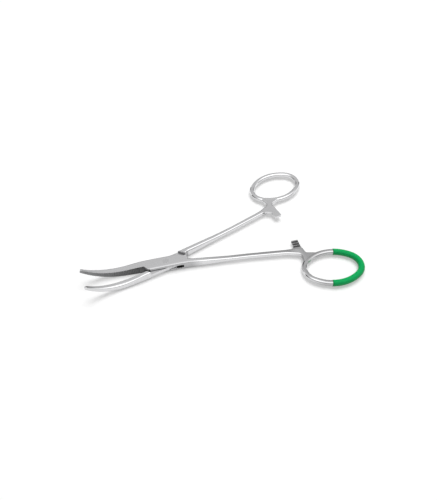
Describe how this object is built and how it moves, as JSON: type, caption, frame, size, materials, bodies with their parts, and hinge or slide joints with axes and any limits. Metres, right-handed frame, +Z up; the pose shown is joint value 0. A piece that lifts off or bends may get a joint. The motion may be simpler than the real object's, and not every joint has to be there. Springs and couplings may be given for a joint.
{
  "type": "hemostat forceps",
  "caption": "Curved ring-handled clamping forceps with a box lock, serrated jaws and a ratchet, one finger ring banded green.",
  "frame": {"origin": "on the hinge pin's axis, level with the underside of the box lock, where the forceps rest", "axes": "+X towards the finger rings and along the middle line between the two halves, +Y towards the male half's ring, +Z up along the hinge pin, the way the jaws curve"},
  "size_m": [0.1365, 0.0918, 0.0095],
  "materials": {
    "female_steel": "satin polished surgical stainless steel",
    "male_steel": "satin polished surgical stainless steel",
    "pin_steel": "satin polished surgical stainless steel",
    "green_coat": "smooth green polymer coat for colour coding"
  },
  "bodies": {
    "female_body": {"female_half": "female_steel", "hinge_pin": "pin_steel", "colour_band": "green_coat"},
    "male_body": {"male_half": "male_steel"}
  },
  "joints": [
    {"name": "box_lock", "type": "hinge", "parent": "female_body", "child": "male_body", "pos_m": [0, 0, 0.0024], "axis": [0, 0, 1], "range_deg": [-14.1, 36]}
  ]
}
